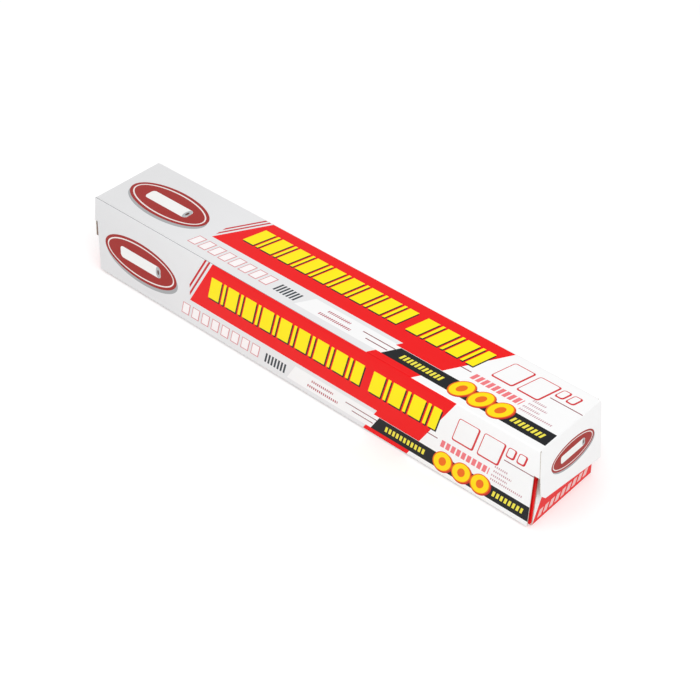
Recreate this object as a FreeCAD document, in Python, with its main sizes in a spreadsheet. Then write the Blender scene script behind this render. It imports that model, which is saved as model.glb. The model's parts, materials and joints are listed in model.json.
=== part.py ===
import FreeCAD
import Part
import Sketcher
import math
import os
from FreeCAD import Placement, Rotation, Vector

# A roll of kitchen foil on a card core, in the folding carton that dispenses it.
# The carton is one sheet of paperboard in life. It is two solids here, a tray and a lid,
# because the lid turns about the crease along the top of the back wall.
# X runs along the roll, -Y is the front and +Z is up. The origin is the middle of the
# tray's underside. All sizes are in millimetres and degrees.

SIZES = [
    ("foil_width", 304.8, "width of the foil, 12 inches"),
    ("wound_depth", 4.55, "from the card tube out: 22.86 m of foil 0.021 mm thick, with air"),
    ("core_bore", 28.6, "inside of the card tube"),
    ("core_wall", 1.2, "wall of the card tube"),
    ("core_overhang", 0.6, "card tube past the foil at each end"),
    ("wrap_gap", 0.05, "air between the card tube and the first turn"),
    ("board", 0.5, "thickness of the paperboard"),
    ("fold_radius", 0.7, "outside radius of every fold"),
    ("end_play", 2.5, "card tube to the inside of an end wall"),
    ("roll_play", 3.5, "roll to the inside of the front and back walls"),
    ("seat_gap", 0.2, "roll to the floor of the tray"),
    ("head_room", 8.6, "top of the roll to the underside of the lid"),
    ("crease_gap", 0.1, "back wall to the lid's underside at the crease"),
    ("front_drop", 6.0, "front wall's top edge below the lid's top face"),
    ("end_drop", 1.5, "end walls' top edge below the lid's top face"),
    ("end_relief", 0.4, "end flap's side edge in from the tray's corner"),
    ("end_corner", 4.0, "cut across the top corners of an end flap"),
    ("dust_foot", 1.2, "dust flap's lower edge above the underside"),
    ("dust_height", 42.0, "dust flap's upper edge above the underside"),
    ("dust_reach", 21.0, "dust flap along the end wall"),
    ("dust_taper", 5.0, "slope of a dust flap's two free edges"),
    ("side_gap", 0.5, "end wall to the lid's ear, at the top"),
    ("front_gap", 0.3, "front wall to the lid's glue tab, at the top"),
    ("flap_flare", 3.3, "front flap, out from upright"),
    ("flap_hem", 1.2, "front flap's lower edge above the underside"),
    ("flap_inset", 1.6, "front flap's free side edges in from the lid's end"),
    ("web", 16.0, "closed part of the lid's front corners, down from the top"),
    ("ear_flare", 6.0, "ears, out from upright"),
    ("ear_front", 30.5, "ear's height at the front"),
    ("ear_back", 36.5, "ear's height at the back"),
    ("ear_corner", 3.2, "cut across an ear's lower front corner"),
    ("tab_reach", 12.0, "glue tab behind the front flap"),
    ("tab_margin", 1.2, "glue tab short of the closed corner, top and bottom"),
    ("blade_gauge", 0.2, "thickness of the cutter's steel"),
    ("blade_width", 10.5, "cutter from its back edge to the tooth tips"),
    ("blade_proud", 1.0, "tooth tips past the flap's lower edge"),
    ("blade_margin", 5.7, "cutter's ends in from the flap's side edges"),
    ("tooth_pitch", 2.5, "from tooth to tooth"),
    ("tooth_depth", 2.0, "root to tip of a tooth"),
]

# Sizes that follow from the ones above, as expressions for the document
CORE_HALF = "(Size.foil_width / 2 + Size.core_overhang)"
CORE_OUTER = "(Size.core_bore / 2 + Size.core_wall)"
TRAY_X = f"({CORE_HALF} + Size.end_play + 2 * Size.board)"
ROLL_RADIUS = f"({CORE_OUTER} + Size.wrap_gap + Size.wound_depth)"
TRAY_Y = f"({ROLL_RADIUS} + Size.roll_play + Size.board)"
WALL_X = f"({TRAY_X} - Size.board)"
LID_X = f"({TRAY_X} + Size.side_gap + Size.board)"
LID_Y = f"({TRAY_Y} + Size.front_gap + 2 * Size.board)"
TOP = f"(2 * Size.board + Size.seat_gap + 2 * {ROLL_RADIUS} + Size.head_room)"
AXIS_Z = f"(Size.board + Size.seat_gap + {ROLL_RADIUS})"
EAR_TILT = "(Size.ear_flare * 1 deg)"
FLAP_TILT = "(Size.flap_flare * 1 deg)"
FLAP_LENGTH = f"(({TOP} - Size.flap_hem) / cos({FLAP_TILT}))"
FLAP_X = f"({LID_X} - Size.flap_inset)"
BLADE_TIP = f"({FLAP_LENGTH} + Size.blade_proud)"
BLADE_ROOT = f"({BLADE_TIP} - Size.tooth_depth)"
BLADE_X = f"({FLAP_X} - Size.blade_margin)"
TEETH = f"floor(2 * {BLADE_X} / Size.tooth_pitch)"
LEG = "3 * Size.fold_radius"


def add_sizes(doc):
    """Writes the driving sizes into a sheet, one alias and one note to a row."""
    sheet = doc.addObject("Spreadsheet::Sheet", "Size")
    for row, (alias, value, note) in enumerate(SIZES, start=1):
        sheet.set(f"A{row}", alias)
        sheet.set(f"B{row}", str(value))
        sheet.set(f"C{row}", note)
        sheet.setAlias(f"B{row}", alias)
    doc.recompute()
    return sheet


def add_body(doc, name):
    """Adds a body whose name and label are those of the sub-part."""
    body = doc.addObject("PartDesign::Body", name)
    body.Label = name
    return body


def origin_plane(body, role):
    """One of the body's own origin planes."""
    return next(f for f in body.Origin.OriginFeatures if f.Role == role)


def add_sketch(body, role, name, place=("0", "0", "0"), tilt=None):
    """A sketch on an origin plane, moved by place and turned about its own X by tilt."""
    sketch = body.newObject("Sketcher::SketchObject", name)
    sketch.AttachmentSupport = [(origin_plane(body, role), "")]
    sketch.MapMode = "FlatFace"
    if tilt:
        sketch.AttachmentOffset = Placement(Vector(), Rotation(Vector(1, 0, 0), -1))
        sketch.setExpression("AttachmentOffset.Rotation.Angle", tilt)
    for axis, size in zip("xyz", place):
        if size != "0":
            sketch.setExpression(f"AttachmentOffset.Base.{axis}", size)
    return sketch


def measure(sketch, expression):
    """The value of an expression now, as a plain number."""
    value = sketch.evalExpression(expression)
    return float(getattr(value, "Value", value))


def fix_point(sketch, edge, end, x, y):
    """Ties one end of an edge to the sketch's origin by two expressions."""
    for kind, axis, size in (("DistanceX", -2, x), ("DistanceY", -1, y)):
        if size == "0":
            sketch.addConstraint(Sketcher.Constraint("PointOnObject", edge, end, axis))
            continue
        distance = Sketcher.Constraint(kind, -1, 1, edge, end, measure(sketch, size))
        number = sketch.addConstraint(distance)
        sketch.setExpression(f"Constraints[{number}]", size)


def draw_loop(sketch, corners):
    """Draws a closed outline. A corner is (x, y), or (x, y, cx, cy) where an arc about (cx, cy) ends."""
    points = [Vector(measure(sketch, c[0]), measure(sketch, c[1]), 0) for c in corners]
    ends = []
    for number, corner in enumerate(corners):
        start, finish = points[number - 1], points[number]
        if len(corner) == 2:
            edge = sketch.addGeometry(Part.LineSegment(start, finish), False)
            ends.append((edge, 1, 2))
            continue
        centre = Vector(measure(sketch, corner[2]), measure(sketch, corner[3]), 0)
        angles = [math.atan2(p.y - centre.y, p.x - centre.x) for p in (start, finish)]
        turns_left = math.sin(angles[1] - angles[0]) > 0
        first, last = angles if turns_left else angles[::-1]
        circle = Part.Circle(centre, Vector(0, 0, 1), start.distanceToPoint(centre))
        edge = sketch.addGeometry(Part.ArcOfCircle(circle, first, last), False)
        ends.append((edge, 1, 2) if turns_left else (edge, 2, 1))
    for number, corner in enumerate(corners):
        edge, _, end = ends[number]
        following, start, _ = ends[(number + 1) % len(corners)]
        sketch.addConstraint(Sketcher.Constraint("Coincident", edge, end, following, start))
        fix_point(sketch, edge, end, corner[0], corner[1])
        if len(corner) == 4:
            size = corner[2]
            distance = Sketcher.Constraint("DistanceX", -1, 1, edge, 3, measure(sketch, size))
            centre_tie = sketch.addConstraint(distance)
            sketch.setExpression(f"Constraints[{centre_tie}]", size)


def draw_rectangle(sketch, low, high):
    """A rectangle from its lowest to its highest corner."""
    (x0, y0), (x1, y1) = low, high
    draw_loop(sketch, [(x0, y0), (x1, y0), (x1, y1), (x0, y1)])


def draw_bend(sketch, corner, side, up, tilt="0 deg"):
    """The section of a fold: a level leg and an upright one that leans out by tilt.

    corner is where the two outside faces would meet. side is the sign of X on which the
    corner lies, and up is 1 where the level leg is on top and -1 where it is below.
    """
    x, y = corner
    radius, inner = "Size.fold_radius", "(Size.fold_radius - Size.board)"
    cx = f"({x} - ({side}) * {radius} * tan((90 deg - {tilt}) / 2))"
    cy = f"({y} - ({up}) * {radius})"
    lean_x, lean_y = f"({side}) * cos({tilt})", f"({up}) * sin({tilt})"
    down_x, down_y = f"({side}) * {LEG} * sin({tilt})", f"-({up}) * {LEG} * cos({tilt})"
    outer = (f"{cx} + {radius} * {lean_x}", f"{cy} + {radius} * {lean_y}")
    inside = (f"{cx} + {inner} * {lean_x}", f"{cy} + {inner} * {lean_y}")
    draw_loop(sketch, [
        (f"{cx} - ({side}) * {LEG}", y),
        (cx, y),
        (*outer, cx, cy),
        (f"{outer[0]} + {down_x}", f"{outer[1]} + {down_y}"),
        (f"{inside[0]} + {down_x}", f"{inside[1]} + {down_y}"),
        inside,
        (cx, f"{y} - ({up}) * Size.board", cx, cy),
        (f"{cx} - ({side}) * {LEG}", f"{y} - ({up}) * Size.board"),
    ])


def add_pad(body, sketch, length, both=False, back=False):
    """Pads a sketch by a length, on both sides alike or against its normal."""
    pad = body.newObject("PartDesign::Pad", sketch.Name + "Pad")
    pad.Profile = sketch
    pad.setExpression("Length", length)
    pad.SideType = "Symmetric" if both else "One side"
    pad.Reversed = back
    sketch.Visibility = False
    return pad


def add_mirror(body, features, name):
    """Repeats features at the other end of the carton."""
    mirror = body.newObject("PartDesign::Mirrored", name)
    mirror.Originals = features
    mirror.MirrorPlane = (origin_plane(body, "YZ_Plane"), [""])
    body.Tip = mirror
    return mirror


def build_tray(doc):
    """The lower part of the carton: floor, front and back walls, dust flaps and end flaps."""
    body = add_body(doc, "carton_tray")
    radius = "Size.fold_radius"
    short_x = f"({WALL_X} - {radius})"
    back_top = f"({TOP} - Size.board - Size.crease_gap)"

    floor = add_sketch(body, "XY_Plane", "Floor")
    inner_x, inner_y = f"({TRAY_X} - {radius})", f"({TRAY_Y} - {radius})"
    draw_rectangle(floor, (f"-{inner_x}", f"-{inner_y}"), (inner_x, inner_y))
    add_pad(body, floor, "Size.board")

    long_folds = add_sketch(body, "YZ_Plane", "LongFolds")
    draw_bend(long_folds, (f"-{TRAY_Y}", "0"), "-1", "-1")
    draw_bend(long_folds, (TRAY_Y, "0"), "1", "-1")
    add_pad(body, long_folds, f"2 * {short_x}", both=True)

    for name, top, side in (("FrontWall", f"({TOP} - Size.front_drop)", 1), ("BackWall", back_top, -1)):
        wall = add_sketch(body, "XZ_Plane", name, ("0", "0", f"{side} * {TRAY_Y}"))
        draw_rectangle(wall, (f"-{short_x}", radius), (short_x, top))
        add_pad(body, wall, "Size.board", back=side > 0)

    corner_folds = add_sketch(body, "XY_Plane", "CornerFolds", ("0", "0", "Size.dust_foot"))
    for side_x in ("-1", "1"):
        for side_y in ("-1", "1"):
            corner = (f"({side_x}) * {WALL_X}", f"({side_y}) * {TRAY_Y}")
            draw_bend(corner_folds, corner, side_x, side_y)
    add_pad(body, corner_folds, "Size.dust_height - Size.dust_foot")

    dust = add_sketch(body, "YZ_Plane", "DustFlaps", ("0", "0", WALL_X))
    root, tip = f"({TRAY_Y} - {radius})", f"({TRAY_Y} - Size.dust_reach)"
    low_tip = "(Size.dust_foot + Size.dust_taper)"
    high_tip = "(Size.dust_height - Size.dust_taper)"
    for side in ("-1", "1"):
        draw_loop(dust, [
            (f"({side}) * {root}", "Size.dust_foot"),
            (f"({side}) * {tip}", low_tip),
            (f"({side}) * {tip}", high_tip),
            (f"({side}) * {root}", "Size.dust_height"),
        ])
    dust_pad = add_pad(body, dust, "Size.board", back=True)

    end_fold = add_sketch(body, "XZ_Plane", "EndFolds")
    draw_bend(end_fold, (f"-{TRAY_X}", "0"), "-1", "-1")
    draw_bend(end_fold, (TRAY_X, "0"), "1", "-1")
    end_y = f"({TRAY_Y} - Size.end_relief)"
    add_pad(body, end_fold, f"2 * {end_y}", both=True)

    end = add_sketch(body, "YZ_Plane", "EndFlap", ("0", "0", TRAY_X))
    end_top = f"({TOP} - Size.end_drop)"
    shoulder, narrow = f"({end_top} - Size.end_corner)", f"({end_y} - Size.end_corner)"
    draw_loop(end, [
        (f"-{end_y}", radius), (end_y, radius), (end_y, shoulder),
        (narrow, end_top), (f"-{narrow}", end_top), (f"-{end_y}", shoulder),
    ])
    end_pad = add_pad(body, end, "Size.board", back=True)
    add_mirror(body, [dust_pad, end_pad], "FarEnd")
    return body


def build_lid(doc):
    """The upper part: top panel, front flap, and an ear at each end glued behind the flap."""
    body = add_body(doc, "carton_lid")
    radius = "Size.fold_radius"

    top = add_sketch(body, "XY_Plane", "TopPanel", ("0", "0", TOP))
    edge_x = f"({LID_X} - {radius})"
    draw_rectangle(top, (f"-{edge_x}", f"-({LID_Y} - {radius})"), (edge_x, TRAY_Y))
    add_pad(body, top, "Size.board", back=True)

    front_fold = add_sketch(body, "YZ_Plane", "FrontFold")
    draw_bend(front_fold, (f"-{LID_Y}", TOP), "-1", "1", FLAP_TILT)
    add_pad(body, front_fold, f"2 * {edge_x}", both=True)

    ear_folds = add_sketch(body, "XZ_Plane", "EarFolds", ("0", "0", f"-{TRAY_Y}"))
    draw_bend(ear_folds, (f"-{LID_X}", TOP), "-1", "1", EAR_TILT)
    draw_bend(ear_folds, (LID_X, TOP), "1", "1", EAR_TILT)
    add_pad(body, ear_folds, f"{TRAY_Y} + {LID_Y} - {radius}")

    flap_place = ("0", TOP, LID_Y)
    flap = add_sketch(body, "XZ_Plane", "FrontFlap", flap_place, f"-{FLAP_TILT}")
    wing = f"({LID_X} + Size.web * cos({FLAP_TILT}) * tan({EAR_TILT}))"
    wing_top = f"({LID_X} + {radius} * cos({FLAP_TILT}) * tan({EAR_TILT}))"
    draw_loop(flap, [
        (f"-{wing_top}", f"-{radius}"), (f"-{wing}", "-Size.web"),
        (f"-{FLAP_X}", "-Size.web"), (f"-{FLAP_X}", f"-{FLAP_LENGTH}"),
        (FLAP_X, f"-{FLAP_LENGTH}"), (FLAP_X, "-Size.web"),
        (wing, "-Size.web"), (wing_top, f"-{radius}"),
    ])
    add_pad(body, flap, "Size.board", back=True)

    ear = add_sketch(body, "YZ_Plane", "Ear", ("0", TOP, LID_X), f"-{EAR_TILT}")
    joined = f"({LID_Y} - Size.board / 2)"
    joined_low = f"({joined} + Size.web * tan({FLAP_TILT}))"
    free = f"({LID_Y} - Size.board)"
    draw_loop(ear, [
        (f"-{joined}", f"-{radius}"), (f"-{joined_low}", "-Size.web"), (f"-{free}", "-Size.web"),
        (f"-{free}", "-(Size.ear_front - Size.ear_corner)"),
        (f"-({free} - Size.ear_corner)", "-Size.ear_front"),
        (TRAY_Y, "-Size.ear_back"), (TRAY_Y, f"-{radius}"),
    ])
    ear_pad = add_pad(body, ear, "Size.board", back=True)

    tab_place = ("0", f"{TOP} - Size.board * sin({FLAP_TILT})", f"{LID_Y} - Size.board * cos({FLAP_TILT})")
    tab = add_sketch(body, "XZ_Plane", "GlueTab", tab_place, f"-{FLAP_TILT}")
    tab_top, tab_low = "(Size.fold_radius + Size.tab_margin)", "(Size.web - Size.tab_margin)"
    reach = f"({LID_X} - Size.tab_reach)"
    draw_loop(tab, [
        (f"{LID_X} + {tab_top} * tan({EAR_TILT}) - Size.board / 2", f"-{tab_top}"),
        (f"{LID_X} + {tab_low} * tan({EAR_TILT}) - Size.board / 2", f"-{tab_low}"),
        (reach, f"-{tab_low}"), (reach, f"-{tab_top}"),
    ])
    tab_pad = add_pad(body, tab, "Size.board", back=True)
    add_mirror(body, [ear_pad, tab_pad], "FarEar")
    return body


def build_blade(doc):
    """The steel cutter, flat on the inside of the front flap with its teeth past the edge."""
    body = add_body(doc, "cutter_blade")
    height = f"{TOP} - Size.board * sin({FLAP_TILT})"
    depth = f"{LID_Y} - Size.board * cos({FLAP_TILT})"
    place = ("0", height, depth)

    strip = add_sketch(body, "XZ_Plane", "Strip", place, f"-{FLAP_TILT}")
    back_edge = f"-({BLADE_TIP} - Size.blade_width)"
    draw_rectangle(strip, (f"-{BLADE_X}", f"-{BLADE_ROOT}"), (BLADE_X, back_edge))
    add_pad(body, strip, "Size.blade_gauge", back=True)

    tooth = add_sketch(body, "XZ_Plane", "Tooth", place, f"-{FLAP_TILT}")
    first = f"(-{TEETH} * Size.tooth_pitch / 2)"
    draw_loop(tooth, [
        (first, f"-({BLADE_ROOT} - Size.tooth_depth / 4)"),
        (first, f"-{BLADE_ROOT}"),
        (f"{first} + Size.tooth_pitch / 2", f"-{BLADE_TIP}"),
        (f"{first} + Size.tooth_pitch", f"-{BLADE_ROOT}"),
        (f"{first} + Size.tooth_pitch", f"-({BLADE_ROOT} - Size.tooth_depth / 4)"),
    ])
    tooth_pad = add_pad(body, tooth, "Size.blade_gauge", back=True)

    row = body.newObject("PartDesign::LinearPattern", "ToothRow")
    row.Originals = [tooth_pad]
    row.Direction = (tooth, ["H_Axis"])
    row.setExpression("Length", f"({TEETH} - 1) * Size.tooth_pitch")
    row.setExpression("Occurrences", TEETH)
    body.Tip = row
    return body


def build_ring(doc, name, outer, bore, half_length):
    """A straight tube along X, centred over the tray's floor at the roll's height."""
    body = add_body(doc, name)
    section = add_sketch(body, "YZ_Plane", name.title().replace("_", "") + "Section")
    section.setExpression("AttachmentOffset.Base.y", AXIS_Z)
    for radius in (outer, bore):
        circle = Part.Circle(Vector(), Vector(0, 0, 1), measure(section, radius))
        edge = section.addGeometry(circle, False)
        section.addConstraint(Sketcher.Constraint("Coincident", edge, 3, -1, 1))
        size = Sketcher.Constraint("Radius", edge, measure(section, radius))
        number = section.addConstraint(size)
        section.setExpression(f"Constraints[{number}]", radius)
    add_pad(body, section, f"2 * {half_length}", both=True)
    return body


def build_foil(doc):
    """All the turns of foil as one solid, with the card tube's hole through them."""
    bore = f"({CORE_OUTER} + Size.wrap_gap)"
    return build_ring(doc, "foil_roll", ROLL_RADIUS, bore, "Size.foil_width / 2")


def build_core(doc):
    """The card tube that the foil is wound on."""
    return build_ring(doc, "core_tube", CORE_OUTER, "Size.core_bore / 2", CORE_HALF)


def check_and_write(doc, bodies):
    """Stops on any failed object or bad shape, then writes one STEP file a sub-part."""
    doc.recompute()
    for item in doc.Objects:
        if any(word in item.State for word in ("Invalid", "Error")):
            raise RuntimeError(f"{item.Name} failed: {item.State}")
    os.makedirs("parts", exist_ok=True)
    for body in bodies:
        shape = body.Shape
        if shape.isNull() or not shape.isValid() or len(shape.Solids) != 1:
            raise RuntimeError(f"{body.Label} is not one valid solid")
        shape.exportStep(f"parts/{body.Label}.step")
        box = shape.BoundBox
        print(f"{body.Label}: {box.XLength:.2f} x {box.YLength:.2f} x {box.ZLength:.2f} mm,"
              f" lowest {box.ZMin:.2f}, volume {shape.Volume:.1f} mm3")


def main():
    """Builds the document and writes its sub-parts."""
    doc = FreeCAD.newDocument("FoilCarton")
    add_sizes(doc)
    builders = (build_tray, build_lid, build_blade, build_foil, build_core)
    bodies = [build(doc) for build in builders]
    check_and_write(doc, bodies)


main()
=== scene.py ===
import json
import math
import random

import bmesh
import bpy
from bpy.props import FloatProperty, FloatVectorProperty, IntProperty, PointerProperty, StringProperty
from mathutils import Matrix, Vector


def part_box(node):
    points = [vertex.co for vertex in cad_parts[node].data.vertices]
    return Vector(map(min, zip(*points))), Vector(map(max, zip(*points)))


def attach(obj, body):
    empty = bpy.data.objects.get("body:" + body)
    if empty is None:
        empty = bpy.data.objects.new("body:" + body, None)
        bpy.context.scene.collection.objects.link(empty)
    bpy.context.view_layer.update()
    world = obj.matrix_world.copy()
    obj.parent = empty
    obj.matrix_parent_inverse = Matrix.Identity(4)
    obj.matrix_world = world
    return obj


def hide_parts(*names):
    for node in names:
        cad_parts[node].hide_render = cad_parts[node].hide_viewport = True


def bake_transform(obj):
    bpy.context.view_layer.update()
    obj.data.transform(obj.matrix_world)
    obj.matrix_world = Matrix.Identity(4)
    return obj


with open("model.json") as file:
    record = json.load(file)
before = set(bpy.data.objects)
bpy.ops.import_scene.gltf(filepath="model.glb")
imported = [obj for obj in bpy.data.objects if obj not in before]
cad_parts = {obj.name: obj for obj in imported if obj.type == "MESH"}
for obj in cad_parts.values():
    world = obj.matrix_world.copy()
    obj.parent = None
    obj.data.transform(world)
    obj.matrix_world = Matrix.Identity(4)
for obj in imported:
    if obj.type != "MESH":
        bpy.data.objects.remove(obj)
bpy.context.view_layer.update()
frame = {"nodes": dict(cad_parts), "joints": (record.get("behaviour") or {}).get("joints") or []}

bl_info = {
    "name": "Foil Carton",
    "version": (1, 0, 0),
    "blender": (4, 5, 0),
    "location": "3D View > Sidebar > Foil Carton",
    "description": "Dresses a kitchen foil carton, its roll, card tube and cutter",
    "category": "Add Mesh",
}

# Lengths are in metres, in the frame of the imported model: X along the roll, -Y the front, Z up.
# The print's own measures are in millimetres, because its shapes are laid out on flat board.
# SLACK is how far past a fold a pick reaches.

MM = 0.001
SLACK = 0.01 * MM
TRAY_LOW, TRAY_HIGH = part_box("carton_tray")
LID_LOW, LID_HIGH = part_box("carton_lid")
FOIL_LOW, FOIL_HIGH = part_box("foil_roll")
TUBE_LOW, TUBE_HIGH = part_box("core_tube")
HINGE = Vector(frame["joints"][0]["pos_m"])


class CartonSizes(bpy.types.PropertyGroup):
    """Sizes of the folded board."""

    board: FloatProperty(name="Board", description="Thickness of the paperboard",
                         default=0.5 * MM, min=0.2 * MM, precision=5, unit="LENGTH")
    fold_radius: FloatProperty(name="Fold radius", description="Outside radius of a fold",
                               default=0.7 * MM, min=0.1 * MM, precision=5, unit="LENGTH")
    fold_steps: IntProperty(name="Fold steps", description="Flats around a fold", default=4, min=2)
    crease_run: FloatProperty(name="Crease run", description="Board taken up each side of the back crease",
                              default=1.1 * MM, precision=5, unit="LENGTH")
    end_stand_off: FloatProperty(name="End stand-off", description="Lid's end past the tray's",
                                 default=1.0 * MM, precision=5, unit="LENGTH")
    front_stand_off: FloatProperty(name="Front stand-off", description="Lid's front past the tray's",
                                   default=1.3 * MM, precision=5, unit="LENGTH")
    flap_flare: FloatProperty(name="Flap flare", description="Front flap, out from upright",
                              default=math.radians(3.295), subtype="ANGLE")
    ear_flare: FloatProperty(name="Ear flare", description="Ears, out from upright",
                             default=math.radians(6), subtype="ANGLE")
    flap_inset: FloatProperty(name="Flap inset", description="Flap's right edge, in from the lid's end",
                              default=1.6 * MM, precision=5, unit="LENGTH")
    flap_inset_left: FloatProperty(name="Flap inset left",
                                   description="Flap's left edge, in from the lid's end",
                                   default=0.5 * MM, precision=5, unit="LENGTH")
    web: FloatProperty(name="Web", description="Closed part of the front corners, down from the top",
                       default=16 * MM, unit="LENGTH")
    ear_front: FloatProperty(name="Ear front", description="Height of an ear at the front",
                             default=30.5 * MM, unit="LENGTH")
    ear_back: FloatProperty(name="Ear back", description="Height of an ear at the back",
                            default=36.5 * MM, unit="LENGTH")
    ear_lead: FloatProperty(name="Ear lead", description="Ear's free front edge, forward of the front fold",
                            default=0.3 * MM, precision=5, unit="LENGTH")
    ear_corner: FloatProperty(name="Ear corner", description="Cut across an ear's lower front corner",
                              default=3.2 * MM, unit="LENGTH")
    tab_reach: FloatProperty(name="Tab reach", description="Glue tab, behind the flap from its end",
                             default=12 * MM, unit="LENGTH")
    tab_top: FloatProperty(name="Tab top", description="Glue tab's upper edge, down from the top",
                           default=1.9 * MM, unit="LENGTH")
    tab_foot: FloatProperty(name="Tab foot", description="Glue tab's lower edge, down from the top",
                            default=14.8 * MM, unit="LENGTH")
    notch: FloatProperty(name="Notch", description="Relief between ear and flap, back from the front fold",
                         default=1.2 * MM, precision=5, unit="LENGTH")
    front_drop: FloatProperty(name="Front drop", description="Front wall's top edge, below the lid's top",
                              default=6 * MM, unit="LENGTH")
    end_drop: FloatProperty(name="End drop", description="End flaps' top edge, below the lid's top",
                            default=1.5 * MM, unit="LENGTH")
    end_corner: FloatProperty(name="End corner", description="Cut across an end flap's top front corner",
                              default=4 * MM, unit="LENGTH")
    end_corner_back: FloatProperty(name="End corner back",
                                   description="Cut across an end flap's top back corner",
                                   default=1.5 * MM, unit="LENGTH")
    end_relief: FloatProperty(name="End relief", description="End flap's side edge, in from the corner",
                              default=0.4 * MM, precision=5, unit="LENGTH")
    end_taper: FloatProperty(name="End taper", description="How far an end flap's front edge leans in",
                             default=2.6 * MM, precision=5, unit="LENGTH")
    front_foot: FloatProperty(name="Front foot", description="How far the front wall leans out at its foot",
                              default=1.6 * MM, precision=5, unit="LENGTH")
    end_foot: FloatProperty(name="End foot", description="How far the end walls lean out at their foot",
                            default=0.5 * MM, precision=5, unit="LENGTH")
    dust_foot: FloatProperty(name="Dust foot", description="Dust flap's lower edge, above the underside",
                             default=1.2 * MM, unit="LENGTH")
    dust_height: FloatProperty(name="Dust height", description="Dust flap's upper edge, above the underside",
                               default=42 * MM, unit="LENGTH")
    dust_reach: FloatProperty(name="Dust reach", description="Dust flap along the end wall",
                              default=21 * MM, unit="LENGTH")
    dust_taper: FloatProperty(name="Dust taper", description="Slope of a dust flap's free edges",
                              default=5 * MM, unit="LENGTH")


class RollSizes(bpy.types.PropertyGroup):
    """Sizes of the wound foil and its tube."""

    bore: FloatProperty(name="Tube bore", description="Inside radius of the card tube",
                        default=14.3 * MM, unit="LENGTH")
    turns: IntProperty(name="Turns shown", description="Ridges of foil edge on each end", default=22, min=4)
    turn_play: FloatProperty(name="Turn play", description="How unevenly the turns end",
                             default=0.16 * MM, precision=5, unit="LENGTH")
    steps: IntProperty(name="Steps", description="Flats around the roll", default=144, min=24)
    lift: FloatProperty(name="Lift", description="How far the foil's free edge stands off the roll",
                        default=1.9 * MM, unit="LENGTH")
    ripples: IntProperty(name="Ripples", description="Waves along the foil's free edge", default=11, min=1)


class CutterSizes(bpy.types.PropertyGroup):
    """Sizes of the stakes that hold the cutter to the flap."""

    gauge: FloatProperty(name="Gauge", description="Thickness of the cutter's steel",
                         default=0.2 * MM, precision=5, unit="LENGTH")
    stakes: IntProperty(name="Stakes", description="Pressed bosses along the cutter", default=12, min=2)
    stake_pitch: FloatProperty(name="Stake pitch", description="Boss to boss",
                               default=26 * MM, unit="LENGTH")
    stake: FloatProperty(name="Stake", description="Radius of a boss", default=1.1 * MM, unit="LENGTH")
    stake_rise: FloatProperty(name="Stake rise", description="Height of a boss",
                              default=0.35 * MM, precision=5, unit="LENGTH")
    stake_level: FloatProperty(name="Stake level",
                               description="Bosses' share of the cutter's height, from its teeth",
                               default=0.68, min=0.3, max=0.9)


class PrintInks(bpy.types.PropertyGroup):
    """Colours of the print and the bare board, as sRGB hex."""

    red: StringProperty(name="Red", description="Main fields", default="EE0A0E")
    black: StringProperty(name="Black", description="Band and shadows", default="121519")
    yellow: StringProperty(name="Yellow", description="Tall bars", default="FFEB00")
    orange: StringProperty(name="Orange", description="Edges of the yellow discs", default="EE6E10")
    wine: StringProperty(name="Wine", description="Badge", default="A0241E")
    grey: StringProperty(name="Grey", description="Ground at the left end", default="E3E3E4")
    pale: StringProperty(name="Pale grey", description="Ground in the middle", default="E8E8E9")
    white: StringProperty(name="White", description="Ground at the right end", default="F7F7F7")
    rose: StringProperty(name="Rose", description="Fine lines", default="D88E92")
    bare: StringProperty(name="Bare board", description="Inside of the carton", default="C6BFB2")
    core: StringProperty(name="Board core", description="Cut edges of the board", default="CFC9BE")
    tube: StringProperty(name="Tube board", description="Wound card tube", default="B08A5E")


class StageSizes(bpy.types.PropertyGroup):
    """Where the camera stands, and how bright the room is."""

    lens: FloatProperty(name="Lens", description="Focal length on a 36 mm sensor, in millimetres",
                        default=80.05, unit="CAMERA")
    stand: FloatVectorProperty(name="Stand", description="Camera's place", subtype="TRANSLATION",
                               default=(445.67 * MM, -475.36 * MM, 549.32 * MM))
    azimuth: FloatProperty(name="Azimuth", description="Camera's turn round the carton from the front",
                           default=math.radians(42.17), subtype="ANGLE")
    elevation: FloatProperty(name="Elevation", description="Camera's height above level",
                             default=math.radians(39.70), subtype="ANGLE")
    roll: FloatProperty(name="Roll", description="Camera's tilt about its own axis",
                        default=math.radians(-0.16), subtype="ANGLE")
    room: FloatProperty(name="Room", description="Light from all round", default=0.72)
    key: FloatProperty(name="Key", description="Soft lamp over the right front", default=10.0, unit="POWER")
    fill: FloatProperty(name="Fill", description="Soft lamp over the left", default=4.0, unit="POWER")


# Working in edit mode


def clear_selection():
    """An operator works on all that is selected, so each step starts from nothing."""
    bpy.ops.object.select_all(action="DESELECT")


def start_sheet(name, low, high, height):
    """A flat rectangle of board from corner low to corner high, in edit mode and unselected."""
    clear_selection()
    middle = ((low[0] + high[0]) / 2, (low[1] + high[1]) / 2, height)
    bpy.ops.mesh.primitive_plane_add(size=1, location=middle)
    sheet = bpy.context.object
    sheet.name = sheet.data.name = name
    sheet.scale = (high[0] - low[0], high[1] - low[1], 1)
    bpy.ops.object.transform_apply(location=True, rotation=False, scale=True)
    bpy.ops.object.mode_set(mode="EDIT")
    bpy.ops.mesh.select_all(action="DESELECT")
    return sheet


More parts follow.
